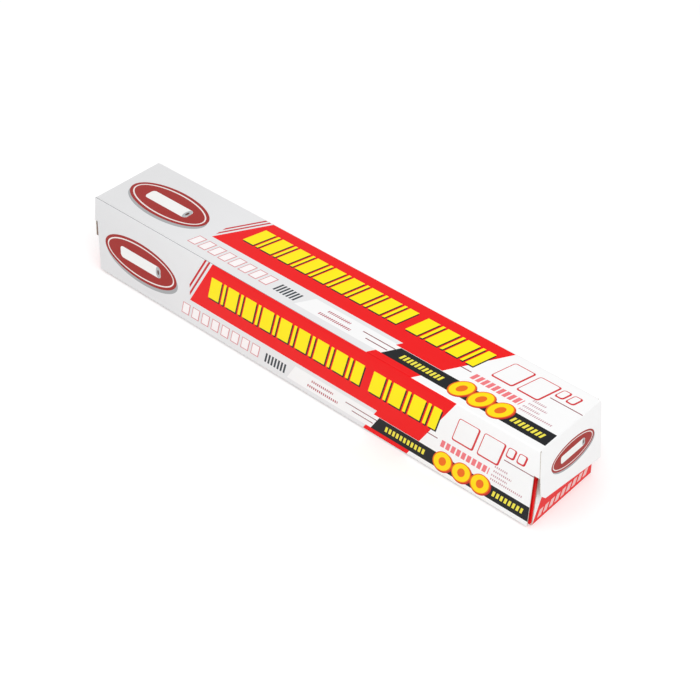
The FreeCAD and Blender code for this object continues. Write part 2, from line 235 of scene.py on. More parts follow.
def pick(obj, kind, holds):
    """In edit mode, selects only the verts, edges or faces with every corner where holds says.

    A place with nothing to select means that the shape went wrong before, so it stops the script.
    """
    found = False
    bpy.ops.mesh.select_mode(type=kind)
    bpy.ops.mesh.select_all(action="DESELECT")
    mesh = bmesh.from_edit_mesh(obj.data)
    for item in {"VERT": mesh.verts, "EDGE": mesh.edges, "FACE": mesh.faces}[kind]:
        corners = [item] if kind == "VERT" else item.verts
        if all(holds(corner.co) for corner in corners):
            item.select_set(True)
            found = True
    if not found:
        raise RuntimeError(f"{obj.name}: nothing of kind {kind} lies there")
    bmesh.update_edit_mesh(obj.data)


def extrude(way):
    """Pulls what is selected out along a vector."""
    bpy.ops.mesh.extrude_region_move(TRANSFORM_OT_translate={"value": tuple(way)})


def cut(obj, point, normal, holds):
    """Cuts the faces where holds says by a plane."""
    pick(obj, "FACE", holds)
    bpy.ops.mesh.bisect(plane_co=tuple(point), plane_no=tuple(normal), threshold=1e-6)


def trim(obj, point, normal, holds):
    """Cuts the faces where holds says by a plane, and deletes what lies on the side of its normal."""
    cut(obj, point, normal, holds)
    point, normal = Vector(point), Vector(normal).normalized()
    pick(obj, "FACE", lambda co: holds(co) and (co - point).dot(normal) > -SLACK)
    bpy.ops.mesh.delete(type="FACE")


def shift(obj, way, holds):
    """Moves the corners where holds says."""
    pick(obj, "VERT", holds)
    bpy.ops.transform.translate(value=tuple(way))


def lean_foot(obj, way, height, holds):
    """Leans what holds names outwards: the foot moves by way, and what is higher by less, up to height."""
    corners = [corner.co for corner in bmesh.from_edit_mesh(obj.data).verts]
    levels = sorted({round(co.z, 7) for co in corners if holds(co) and co.z < height})
    for level in levels:
        share = 1 - level / height
        shift(obj, Vector(way) * share, lambda co: holds(co) and near(co.z, level, 0.0005 * MM))


def near(value, target, slack=0.02 * MM):
    """True if a length is the target, give or take the slack."""
    return abs(value - target) < slack


def finish_edit():
    """Back to object mode."""
    bpy.ops.object.mode_set(mode="OBJECT")


def apply_modifier(obj, kind, **settings):
    """Adds a modifier, sets it and applies it."""
    clear_selection()
    obj.select_set(True)
    bpy.context.view_layer.objects.active = obj
    modifier = obj.modifiers.new(kind.title(), kind)
    for name, value in settings.items():
        setattr(modifier, name, value)
    bpy.ops.object.modifier_apply(modifier=modifier.name)


def smooth(obj, degrees=35):
    """Smooth shading across folds and round forms, with sharp cut edges."""
    clear_selection()
    obj.select_set(True)
    bpy.context.view_layer.objects.active = obj
    bpy.ops.object.shade_smooth_by_angle(angle=math.radians(degrees))


def join(main, *others):
    """Joins loose sheets into the main one."""
    clear_selection()
    for other in others:
        other.select_set(True)
    main.select_set(True)
    bpy.context.view_layer.objects.active = main
    bpy.ops.object.join()


def lay_print(obj, panels, materials):
    """Gives every face of a folded sheet its material, and its place on the flat print.

    panels holds (axis, sign, material number, place) for the six ways a panel can face, and
    place turns a corner into its two print coordinates.
    """
    mesh = obj.data
    for material in materials:
        mesh.materials.append(material)
    while mesh.uv_layers:
        mesh.uv_layers.remove(mesh.uv_layers[0])
    layer = mesh.uv_layers.new(name="Print")
    for face in mesh.polygons:
        axis = max(range(3), key=lambda number: abs(face.normal[number]))
        sign = 1 if face.normal[axis] > 0 else -1
        slot, place = next(panel[2:] for panel in panels if panel[:2] == (axis, sign))
        face.material_index = slot
        for corner in face.loop_indices:
            layer.data[corner].uv = place(mesh.vertices[mesh.loops[corner].vertex_index].co)


def thicken(obj, thickness, inside, edge):
    """Gives a printed sheet its thickness, inwards, with a bare inside and bare cut edges."""
    outsides = [face.center.copy() for face in obj.data.polygons]
    apply_modifier(obj, "SOLIDIFY", thickness=thickness, offset=-1, use_even_offset=True,
                   use_quality_normals=True)
    count = len(outsides)
    for number, face in enumerate(obj.data.polygons):
        if number >= 2 * count:
            face.material_index = edge
        elif (face.center - outsides[number % count]).length > thickness / 4:
            face.material_index = inside


# Materials


def colour(code):
    """Linear colour of an sRGB hex code."""
    parts = [int(code[start:start + 2], 16) / 255 for start in (0, 2, 4)]
    linear = [part / 12.92 if part <= 0.04045 else ((part + 0.055) / 1.055) ** 2.4 for part in parts]
    return (*linear, 1)


def add(tree, kind, inputs=None, **settings):
    """Adds a node with its settings. An input is a value, or another node's output to link."""
    node = tree.nodes.new(kind)
    for name, value in settings.items():
        setattr(node, name, value)
    for name, value in (inputs or {}).items():
        if isinstance(value, bpy.types.NodeSocket):
            tree.links.new(value, node.inputs[name])
        else:
            node.inputs[name].default_value = value
    return node


def start_material(name):
    """An empty material and its node tree."""
    material = bpy.data.materials.new(name)
    material.use_nodes = True
    material.node_tree.nodes.clear()
    return material, material.node_tree


def end_material(tree, shader):
    """Sends a shader to the surface."""
    add(tree, "ShaderNodeOutputMaterial", {"Surface": shader})


def per_mm(size):
    """Scale of a pattern whose cells are that many millimetres across."""
    return 1000 / size


def board_grain(tree, grain_mm, depth_mm, place):
    """Bump of the fibres under the surface of coated or bare board, over slow waves 55 mm across."""
    grain = add(tree, "ShaderNodeTexNoise",
                {"Vector": place, "Scale": per_mm(grain_mm), "Detail": 4.0, "Roughness": 0.6})
    waves = add(tree, "ShaderNodeTexNoise", {"Vector": place, "Scale": per_mm(55), "Detail": 1.0})
    slow = add(tree, "ShaderNodeBump", {"Height": waves.outputs[0], "Distance": 0.5 * MM, "Strength": 0.6})
    return add(tree, "ShaderNodeBump", {"Height": grain.outputs[0], "Distance": depth_mm * MM,
                                        "Strength": 0.5, "Normal": slow.outputs[0]}).outputs[0]


def print_place(tree, lean=0.0):
    """Print coordinates in millimetres, leaned to the right towards the top by lean."""
    uv = add(tree, "ShaderNodeUVMap", uv_map="Print")
    flat = add(tree, "ShaderNodeVectorMath", {0: uv.outputs[0], 1: (1000, 1000, 0)}, operation="MULTIPLY")
    if not lean:
        return flat.outputs[0]
    parts = add(tree, "ShaderNodeSeparateXYZ", {0: flat.outputs[0]})
    along = add(tree, "ShaderNodeMath", {0: parts.outputs[1], 1: lean, 2: parts.outputs[0]},
                operation="MULTIPLY_ADD")
    return add(tree, "ShaderNodeCombineXYZ", {0: along.outputs[0], 1: parts.outputs[1]}).outputs[0]


def box_mask(tree, place, left, top, right, bottom, corner=0.0):
    """1 inside a box of the print, 0 outside, with round corners of that radius."""
    middle = ((left + right) / 2, (top + bottom) / 2, 0)
    half = ((right - left) / 2 - corner, (bottom - top) / 2 - corner, 1)
    off = add(tree, "ShaderNodeVectorMath", {0: place, 1: middle}, operation="SUBTRACT").outputs[0]
    off = add(tree, "ShaderNodeVectorMath", {0: off}, operation="ABSOLUTE").outputs[0]
    off = add(tree, "ShaderNodeVectorMath", {0: off, 1: half}, operation="SUBTRACT").outputs[0]
    off = add(tree, "ShaderNodeVectorMath", {0: off, 1: (0, 0, 0)}, operation="MAXIMUM").outputs[0]
    length = add(tree, "ShaderNodeVectorMath", {0: off}, operation="LENGTH").outputs["Value"]
    return add(tree, "ShaderNodeMath", {0: length, 1: max(corner, 0.001)}, operation="LESS_THAN").outputs[0]


def row_mask(tree, place, left, top, right, bottom, pitch, width):
    """1 on a row of like bars inside a box of the print, 0 between and outside them."""
    box = box_mask(tree, place, left, top, right, bottom)
    along = add(tree, "ShaderNodeSeparateXYZ", {0: place}).outputs[0]
    start = add(tree, "ShaderNodeMath", {0: along, 1: left}, operation="SUBTRACT").outputs[0]
    past = add(tree, "ShaderNodeMath", {0: start, 1: pitch}, operation="FLOORED_MODULO").outputs[0]
    bar = add(tree, "ShaderNodeMath", {0: past, 1: width}, operation="LESS_THAN").outputs[0]
    return add(tree, "ShaderNodeMath", {0: bar, 1: box}, operation="MULTIPLY").outputs[0]


def oval_mask(tree, place, middle, half):
    """1 inside an upright oval of the print, 0 outside."""
    off = add(tree, "ShaderNodeVectorMath", {0: place, 1: (*middle, 0)}, operation="SUBTRACT").outputs[0]
    share = add(tree, "ShaderNodeVectorMath", {0: off, 1: (*half, 1)}, operation="DIVIDE").outputs[0]
    length = add(tree, "ShaderNodeVectorMath", {0: share}, operation="LENGTH").outputs["Value"]
    return add(tree, "ShaderNodeMath", {0: length, 1: 1.0}, operation="LESS_THAN").outputs[0]


def print_over(tree, ground, layers):
    """Prints inks over the ground one after another. Each layer is a mask, and the ink laid where it is 1."""
    for mask, ink in layers:
        laid = add(tree, "ShaderNodeMix", {0: mask, 6: ground, 7: colour(ink)}, data_type="RGBA")
        ground = laid.outputs[2]
    return ground


def coated_board(tree, ink, place):
    """Clay-coated folding board under ink and a thin satin varnish: smooth, bright, faintly orange-peeled.

    The ink takes unevenly in soft clouds about 11 mm across. The grain is the 0.6 mm web of fibres.
    """
    cloud = add(tree, "ShaderNodeTexNoise", {"Vector": place, "Scale": per_mm(11), "Detail": 3.0})
    tone = add(tree, "ShaderNodeMapRange", {"Value": cloud.outputs[0], "To Min": 0.975, "To Max": 1.0})
    toned = add(tree, "ShaderNodeMix", {0: 1.0, 6: ink, 7: tone.outputs[0]}, data_type="RGBA",
                blend_type="MULTIPLY")
    rough = add(tree, "ShaderNodeMapRange", {"Value": cloud.outputs[0], "To Min": 0.3, "To Max": 0.42})
    normal = board_grain(tree, 0.6, 0.012, place)
    return add(tree, "ShaderNodeBsdfPrincipled",
               {"Base Color": toned.outputs[2], "Roughness": rough.outputs[0], "IOR": 1.47,
                "Specular IOR Level": 0.15, "Coat Weight": 0.06, "Coat Roughness": 0.12,
                "Normal": normal}).outputs[0]


def end_print_material(tree, ink):
    """Finishes a printed material: its ink on coated board."""
    place = add(tree, "ShaderNodeTexCoord").outputs["Object"]
    end_material(tree, coated_board(tree, ink, place))


def badge(tree, under, place, middle, size, inks):
    """A plain oval badge with a ring and a plain roll of foil on it. size is half its width."""
    shade, ring, foil, foil_end, bore = "A9ABAD", "F3E9E6", "F4F4F2", "B4B6B8", "5A3A30"
    across, down = middle
    tall = size * 0.43
    reach, thick = size * 0.56, tall * 0.3
    end = (across + reach - thick * 0.5, down)
    shadow = (across + size * 0.03, down + tall * 0.16)
    bar = box_mask(tree, place, across - reach, down - thick, across + reach, down + thick, thick * 0.6)
    return print_over(tree, under, (
        (oval_mask(tree, place, shadow, (size, tall)), shade),
        (oval_mask(tree, place, middle, (size, tall)), inks.wine),
        (oval_mask(tree, place, middle, (size * 0.93, tall * 0.86)), ring),
        (oval_mask(tree, place, middle, (size * 0.9, tall * 0.79)), inks.wine),
        (bar, foil),
        (oval_mask(tree, place, end, (thick * 0.5, thick)), foil_end),
        (oval_mask(tree, place, end, (thick * 0.2, thick * 0.42)), bore)))


# The print's slants: of its fields, of the bars that stand in a line on them, and of the ends' field
FIELD_LEAN = 0.575
BAR_LEAN = 0.24
END_LEAN = -0.43

# Shapes of the lid's print as (left, top, right, bottom), in millimetres from the lid's left end
# and down from the back crease or the front fold. BEFORE, PAST and UNDER lie outside the board, for
# shapes that run off its edges. The fields slant from these places by FIELD_LEAN.
BEFORE, PAST, UNDER = -5, 400, 60
RED_FIELD = (95.4, BEFORE, 264.3, 31.75)
RED_STEP = (234, 31.6, 264.3, 35.2)
RED_FOOT = (234.6, 44.8, 264.3, UNDER)
WHITE_STEP = (178, 34.3, 238, 44.9)
WHITE_END = (264.3, BEFORE, PAST, UNDER)
PINSTRIPES = (89.4, BEFORE, 93.8, 31.75)
BLACK_BAND = (238, 35.4, PAST, 44.9)
# The next box is no printed shape: it is the strip along the front fold where painted shade darkens the print
FOLD_SHADE_STRIP = (BEFORE, 49.1, PAST, 49.7)
# Upright limits of slanted shapes: the left end of the pinstripes and the right end of the band
STRIPES_FROM = (77.2, BEFORE, PAST, UNDER)
BAND_UP_TO = (0, BEFORE, 314.3, UNDER)
# Middle and half width of the badge on the lid, and on an ear across from the ear's middle
LID_BADGE = ((36.5, 26.0), 30)
EAR_BADGE = ((0.5, 16.5), 17.5)
# Shapes of the tray's print, across from the wall's middle and up from the underside
END_FIELD = (-25.6, BEFORE, UNDER, 30)
END_BARS = (-22.6, 2.6, 19.5, 6.9)
BACK_FIELD = (-PAST, BEFORE, PAST, 14.6)
BACK_LINE = (-PAST, 16.2, PAST, 16.9)

# Inks of the small shapes, as sRGB hex. The main inks are settings.
STRIPE_RED, OUTLINE_RED, DISC_SHADOW = "C8242C", "D2343A", "C8281E"
MID_ROSE, BRIGHT_ROSE, PALE_ROSE = "B9646C", "EE7A80", "C79AA2"
RULE_WINE, RULE_DARK, SLATE = "8E4650", "84363E", "3C4148"
DASH_YELLOW, DISC_YELLOW = "EFE24A", "FFDE00"
# The grey at the end of the next line is no ink: it is the painted shade multiplied along the front fold
BAR_WHITE, BAR_PINK, FOLD_SHADE_GREY = "FBF6F6", "F6C9C6", "85878A"


def main_fields(tree, inks, flat, leaned):
    """Grey to white ground, red field with pinstripes, the black band with its red tab, and a line of painted
    shade along the front fold.
    """
    along = add(tree, "ShaderNodeSeparateXYZ", {0: flat}).outputs[0]
    paling = add(tree, "ShaderNodeMapRange", {"Value": along, "From Min": 5.0, "From Max": 95.0},
                 interpolation_type="SMOOTHSTEP").outputs[0]
    stripes = row_mask(tree, leaned, *PINSTRIPES, pitch=2.9, width=1.4)
    limit = box_mask(tree, flat, *STRIPES_FROM)
    stripes = add(tree, "ShaderNodeMath", {0: stripes, 1: limit}, operation="MULTIPLY").outputs[0]
    band = box_mask(tree, leaned, *BLACK_BAND)
    limit = box_mask(tree, flat, *BAND_UP_TO)
    band = add(tree, "ShaderNodeMath", {0: band, 1: limit}, operation="MULTIPLY").outputs[0]
    ground = print_over(tree, colour(inks.grey), (
        (paling, inks.pale),
        (box_mask(tree, leaned, *WHITE_STEP), inks.white),
        (box_mask(tree, leaned, *WHITE_END), inks.white),
        (box_mask(tree, leaned, *RED_FIELD), inks.red),
        (box_mask(tree, leaned, *RED_STEP), inks.red),
        (box_mask(tree, leaned, *RED_FOOT), inks.red),
        (stripes, STRIPE_RED),
        (band, inks.black)))
    # A fine dark line of painted shade is laid along the front fold
    return painted_fold_shade(tree, ground, flat, along)


def painted_fold_shade(tree, ground, flat, along):
    """Painted shade: a fine dark line multiplied over the print along the front fold, stronger towards the
    left end.
    """
    fold = box_mask(tree, flat, *FOLD_SHADE_STRIP)
    fold_shade_fade = add(tree, "ShaderNodeMapRange",
               {"Value": along, "From Min": 120.0, "From Max": 270.0, "To Min": 1.0, "To Max": 0.0},
               interpolation_type="SMOOTHSTEP").outputs[0]
    line = add(tree, "ShaderNodeMath", {0: fold, 1: fold_shade_fade}, operation="MULTIPLY").outputs[0]
    fold_shaded = add(tree, "ShaderNodeMix", {0: line, 6: ground, 7: colour(FOLD_SHADE_GREY)}, data_type="RGBA",
               blend_type="MULTIPLY")
    return fold_shaded.outputs[2]


def tall_bars(tree, inks, ground, place):
    """Two blocks of tall yellow bars with thin ones between them, each with a dark shadow."""
    top, bottom = 7.7, 22.4
    blocks = ((97.2, 208.2), (214.4, 258.6))
    wide_and_thin = ((0.0, 7.9), (9.6, 1.9))
    for drop, ink in ((0.9, inks.black), (0.0, inks.yellow)):
        for left, right in blocks:
            for start, width in wide_and_thin:
                bars = row_mask(tree, place, left + start + drop, top + drop, right + drop, bottom + drop,
                                pitch=13.1, width=width)
                ground = print_over(tree, ground, ((bars, ink),))
    return ground


def pale_bars(tree, inks, ground, place):
    """Pale bars with rose edges under the red field, with a short dark row after them."""
    return print_over(tree, ground, (
        (row_mask(tree, place, 80.2, 35.5, 142.5, 43.6, pitch=7.8, width=6.0), inks.rose),
        (row_mask(tree, place, 80.7, 36.0, 142.5, 43.0, pitch=7.8, width=4.8), BAR_WHITE),
        (row_mask(tree, place, 145.5, 37.0, 161.5, 43.6, pitch=2.3, width=1.3), SLATE)))


def outlined_blocks(tree, inks, ground, place):
    """Two tall and two short red outlines at the right end, with a line under the short ones."""
    blocks = ((269, 6.2, 282.3, 22.0), (284.6, 6.2, 297.9, 22.0), (299.2, 6.4, 304.4, 13.4),
              (305.6, 6.4, 310.8, 13.4))
    for left, top, right, bottom in blocks:
        outer = box_mask(tree, place, left, top, right, bottom, 1.4)
        inner = box_mask(tree, place, left + 0.5, top + 0.5, right - 1.1, bottom - 1.0, 1.0)
        ground = print_over(tree, ground, ((outer, OUTLINE_RED), (inner, inks.white)))
    return print_over(tree, ground, ((box_mask(tree, place, 299.5, 15.5, PAST, 16.1), RULE_WINE),))


def small_rows(tree, ground, place):
    """Rows of fine dashes and thin lines in the white parts of the print."""
    rows = ((179.3, 37.1, 194.6, 38.7, MID_ROSE), (177.3, 41.1, 198.9, 42.8, MID_ROSE),
            (264.5, 25.6, 294.5, 30.3, BRIGHT_ROSE),
            (296.5, 22.3, 304, 23.6, PALE_ROSE), (296.8, 25.4, 307.5, 26.7, PALE_ROSE),
            (296.4, 28.4, 306, 29.7, PALE_ROSE), (296.8, 31.2, 316, 32.5, PALE_ROSE))
    for left, top, right, bottom, ink in rows:
        tall = bottom - top
        dashes = row_mask(tree, place, left, top, right, bottom, pitch=0.35 + tall * 0.62, width=tall * 0.5)
        ground = print_over(tree, ground, ((dashes, ink),))
    for left, level, right in ((203.5, 38.1, 225.2), (208.8, 41.4, 223.4), (255.2, 26.4, 261.8)):
        line = box_mask(tree, place, left, level - 0.3, right, level + 0.3)
        ground = print_over(tree, ground, ((line, RULE_DARK),))
    return ground


def band_marks(tree, inks, ground, place):
    """Yellow dashes along the black band, and three discs that stand over it."""
    for left, right in ((231.6, 258.5), (301.0, 319.5)):
        dashes = row_mask(tree, place, left, 38.4, right, 42.0, pitch=2.45, width=1.5)
        ground = print_over(tree, ground, ((dashes, DASH_YELLOW),))
    level = 39.1
    for along in (269.0, 281.0, 292.8):
        middle = (along, level)
        ground = print_over(tree, ground, (
            (oval_mask(tree, place, (along + 0.6, level + 0.4), (6.2, 7.0)), DISC_SHADOW),
            (oval_mask(tree, place, middle, (5.9, 6.8)), inks.orange),
            (oval_mask(tree, place, middle, (5.2, 6.1)), DISC_YELLOW),
            (oval_mask(tree, place, middle, (2.2, 3.0)), inks.orange)))
    return ground


def lid_print(inks):
    """Offset print of the lid's top panel and front flap, both with the same layout."""
    material, tree = start_material("offset_printed_board_lid")
    flat = print_place(tree)
    leaned = print_place(tree, FIELD_LEAN)
    bars = print_place(tree, BAR_LEAN)
    ink = main_fields(tree, inks, flat, leaned)
    ink = tall_bars(tree, inks, ink, bars)
    ink = pale_bars(tree, inks, ink, bars)
    ink = outlined_blocks(tree, inks, ink, bars)
    ink = small_rows(tree, ink, bars)
    ink = band_marks(tree, inks, ink, bars)
    ink = badge(tree, ink, flat, *LID_BADGE, inks)
    end_print_material(tree, ink)
    return material


def ear_print(inks):
    """Offset print of the lid's ears: the badge alone on white."""
    material, tree = start_material("offset_printed_board_ear")
    flat = print_place(tree)
    ink = badge(tree, colour(inks.white), flat, *EAR_BADGE, inks)
    end_print_material(tree, ink)
    return material


def end_print(inks):
    """Offset print of the tray's ends: a red field with a slanted front edge and pale bars."""
    material, tree = start_material("offset_printed_board_end")
    leaned = print_place(tree, END_LEAN)
    ink = print_over(tree, colour(inks.white), (
        (box_mask(tree, leaned, *END_FIELD), inks.red),
        (row_mask(tree, leaned, *END_BARS, pitch=4.7, width=3.1), BAR_PINK)))
    end_print_material(tree, ink)
    return material


def plain_print(name, ink):
    """Offset print in one ink, or plain white."""
    material, tree = start_material(name)
    end_print_material(tree, colour(ink))
    return material


def back_print(inks):
    """Offset print of the back wall: white, with a red field and a red line along the bottom."""
    material, tree = start_material("offset_printed_board_back")
    flat = print_place(tree)
    ink = print_over(tree, colour(inks.white), (
        (box_mask(tree, flat, *BACK_FIELD), inks.red),
        (box_mask(tree, flat, *BACK_LINE), inks.red)))
    end_print_material(tree, ink)
    return material


def bare_board(name, code, dark):
    """Uncoated recycled board: matt, with short fibres, soft clouds and a few darker flecks.

    Pulp fibres are about 1.1 mm long, clouds of pulp about 40 mm across, and flecks of old print
    are one in every few cells of 2.4 mm.
    """
    material, tree = start_material(name)
    place = add(tree, "ShaderNodeTexCoord").outputs["Object"]
    fibres = add(tree, "ShaderNodeTexNoise",
                 {"Vector": place, "Scale": per_mm(1.1), "Detail": 6.0, "Roughness": 0.7})
    flecks = add(tree, "ShaderNodeTexNoise", {"Vector": place, "Scale": per_mm(2.4), "Detail": 2.0})
    cloud = add(tree, "ShaderNodeTexNoise", {"Vector": place, "Scale": per_mm(40), "Detail": 3.0})
    mix = add(tree, "ShaderNodeMath", {0: cloud.outputs[0], 1: 0.35, 2: fibres.outputs[0]},
              operation="MULTIPLY_ADD").outputs[0]
    pale = add(tree, "ShaderNodeMapRange", {"Value": mix, "From Min": 0.3, "From Max": 0.85},
               interpolation_type="SMOOTHSTEP").outputs[0]
    fleck = add(tree, "ShaderNodeMapRange", {"Value": flecks.outputs[0], "From Min": 0.69, "From Max": 0.72},
                interpolation_type="SMOOTHSTEP").outputs[0]
    pulp = print_over(tree, colour(dark), ((pale, code), (fleck, "6E675C")))
    normal = board_grain(tree, 0.4, 0.03, place)
    shader = add(tree, "ShaderNodeBsdfPrincipled", {"Base Color": pulp, "Roughness": 0.85, "Normal": normal})
    end_material(tree, shader.outputs[0])
    return material


def rolled_foil():
    """Bright side of cold-rolled household foil: a mirror with fine rolling lines and long soft creases.

    Rolling lines run round the roll. They are under 0.05 mm apart in life, and are drawn 0.55 mm
    apart so that they show. Creases are about 6.7 mm apart and 30 mm long, and dents 14 mm across.
    """
    material, tree = start_material("rolled_aluminium_foil")
    place = add(tree, "ShaderNodeTexCoord").outputs["Object"]
    round_roll = add(tree, "ShaderNodeMapping", {"Vector": place, "Scale": (1.0, 0.05, 0.05)})
    lines = add(tree, "ShaderNodeTexNoise",
                {"Vector": round_roll.outputs[0], "Scale": per_mm(0.55), "Detail": 3.0, "Roughness": 0.6})
    along_roll = add(tree, "ShaderNodeMapping", {"Vector": place, "Scale": (0.22, 1.0, 1.0)})
    creases = add(tree, "ShaderNodeTexVoronoi",
                  {"Vector": along_roll.outputs[0], "Scale": per_mm(6.7)}, feature="F1")
    dents = add(tree, "ShaderNodeTexVoronoi", {"Vector": place, "Scale": per_mm(14)}, feature="F1")
    wide = add(tree, "ShaderNodeBump", {"Height": dents.outputs[0], "Distance": 0.5 * MM, "Strength": 0.25})
    slow = add(tree, "ShaderNodeBump", {"Height": creases.outputs[0], "Distance": 0.5 * MM, "Strength": 0.35,
                                        "Normal": wide.outputs[0]})
    normal = add(tree, "ShaderNodeBump", {"Height": lines.outputs[0], "Distance": 0.008 * MM,
                                          "Strength": 0.4, "Normal": slow.outputs[0]})
    rough = add(tree, "ShaderNodeMapRange", {"Value": lines.outputs[0], "To Min": 0.1, "To Max": 0.24})
    tone = add(tree, "ShaderNodeMapRange", {"Value": lines.outputs[0], "From Min": 0.25, "From Max": 0.75},
               interpolation_type="SMOOTHSTEP")
    metal = print_over(tree, colour("B3B6BA"), ((tone.outputs[0], "D2D4D6"),))
    shader = add(tree, "ShaderNodeBsdfPrincipled",
                 {"Base Color": metal, "Metallic": 1.0, "Roughness": rough.outputs[0],
                  "Normal": normal.outputs[0]})
    end_material(tree, shader.outputs[0])
    return material


def tinplate():
    """Tin-plated cutter steel: bright, rolled along its length, with the soft spangle of tin.

    Rolling lines are about 0.02 mm apart in life, and are drawn 0.25 mm apart so that they show.
    The tin's crystals are about 2.9 mm across.
    """
    material, tree = start_material("tinplated_steel")
    place = add(tree, "ShaderNodeTexCoord").outputs["Object"]
    stretched = add(tree, "ShaderNodeMapping", {"Vector": place, "Scale": (0.04, 1.0, 1.0)})
    lines = add(tree, "ShaderNodeTexNoise",
                {"Vector": stretched.outputs[0], "Scale": per_mm(0.25), "Detail": 4.0,
                 "Roughness": 0.65})
    spangle = add(tree, "ShaderNodeTexVoronoi", {"Vector": place, "Scale": per_mm(2.9)})
    tone = add(tree, "ShaderNodeMapRange", {"Value": spangle.outputs[0], "To Min": 0.9, "To Max": 1.0})
    metal = add(tree, "ShaderNodeMix", {0: 1.0, 6: colour("C4C6C8"), 7: tone.outputs[0]}, data_type="RGBA",
                blend_type="MULTIPLY")
    rough = add(tree, "ShaderNodeMapRange", {"Value": lines.outputs[0], "To Min": 0.25, "To Max": 0.45})
    normal = add(tree, "ShaderNodeBump",
                 {"Height": lines.outputs[0], "Distance": 0.01 * MM, "Strength": 0.4})
    shader = add(tree, "ShaderNodeBsdfPrincipled",
                 {"Base Color": metal.outputs[2], "Metallic": 1.0, "Roughness": rough.outputs[0],
                  "Normal": normal.outputs[0]})
    end_material(tree, shader.outputs[0])
    return material


def wound_card(inks):
    """Spiral-wound core board: brown, matt, with 1.4 mm fibres and a seam of 60 mm pitch round the tube."""
    material, tree = start_material("spiral_wound_card")
    place = add(tree, "ShaderNodeTexCoord").outputs["Object"]
    parts = add(tree, "ShaderNodeSeparateXYZ", {0: place})
    height = add(tree, "ShaderNodeMath", {0: parts.outputs[2], 1: (TUBE_LOW.z + TUBE_HIGH.z) / 2},
                 operation="SUBTRACT").outputs[0]
    angle = add(tree, "ShaderNodeMath", {0: parts.outputs[1], 1: height}, operation="ARCTAN2").outputs[0]
    turn = add(tree, "ShaderNodeMath", {0: angle, 1: 1 / math.tau}, operation="MULTIPLY").outputs[0]
    along = add(tree, "ShaderNodeMath", {0: parts.outputs[0], 1: 1 / (60 * MM), 2: turn},
                operation="MULTIPLY_ADD").outputs[0]
    past = add(tree, "ShaderNodeMath", {0: along, 1: 1.0}, operation="PINGPONG").outputs[0]
    seam = add(tree, "ShaderNodeMapRange", {"Value": past, "From Max": 0.02, "To Min": 1.0, "To Max": 0.0},
               interpolation_type="SMOOTHSTEP").outputs[0]
    fibres = add(tree, "ShaderNodeTexNoise",
                 {"Vector": place, "Scale": per_mm(1.4), "Detail": 5.0, "Roughness": 0.7})
    ink = print_over(tree, colour("96724A"), ((fibres.outputs[0], inks.tube), (seam, "6E5232")))
    normal = board_grain(tree, 0.5, 0.03, place)
    shader = add(tree, "ShaderNodeBsdfPrincipled", {"Base Color": ink, "Roughness": 0.8, "Normal": normal})
    end_material(tree, shader.outputs[0])
    return material


def board_materials(inks):
    """The bare inside and the cut edge, made once and shared by tray, lid and crease."""
    inside = bpy.data.materials.get("recycled_board_inside")
    edge = bpy.data.materials.get("recycled_board_cut_edge")
    if not inside:
        inside = bare_board("recycled_board_inside", inks.bare, "A59C8D")
        edge = bare_board("recycled_board_cut_edge", inks.core, "A39B8D")
    return inside, edge


# Pieces


def lid_ends(size):
    """Half length of the lid, and the place of its front fold."""
    return TRAY_HIGH.x + size.end_stand_off, TRAY_LOW.y - size.front_stand_off


def fold_front_flap(lid, size, top, half, front):
    """Front flap: full width down to the web's foot, and inset below it."""
    lean = Vector((0, -math.sin(size.flap_flare), -math.cos(size.flap_flare)))
    length = (top - LID_LOW.z) / math.cos(size.flap_flare)
    web_foot = top - size.web * math.cos(size.flap_flare)
    pick(lid, "EDGE", lambda co: near(co.y, front))
    extrude(lean * size.web)
    extrude(lean * (length - size.web))
    for side, inset in ((-1, size.flap_inset_left), (1, size.flap_inset)):
        trim(lid, (side * (half - inset), 0, 0), (side, 0, 0), lambda co: co.z < web_foot + SLACK)
        spread = side * (top - web_foot) * math.tan(size.ear_flare)
        shift(lid, (spread, 0, 0), lambda co: near(co.z, web_foot) and side * co.x > half - SLACK)


def tab_fold(size, front, drop):
    """Depth of the glue tab's fold, that far below the lid's top, just behind the leaning flap."""
    return front + size.board * 1.04 - drop * math.tan(size.flap_flare)


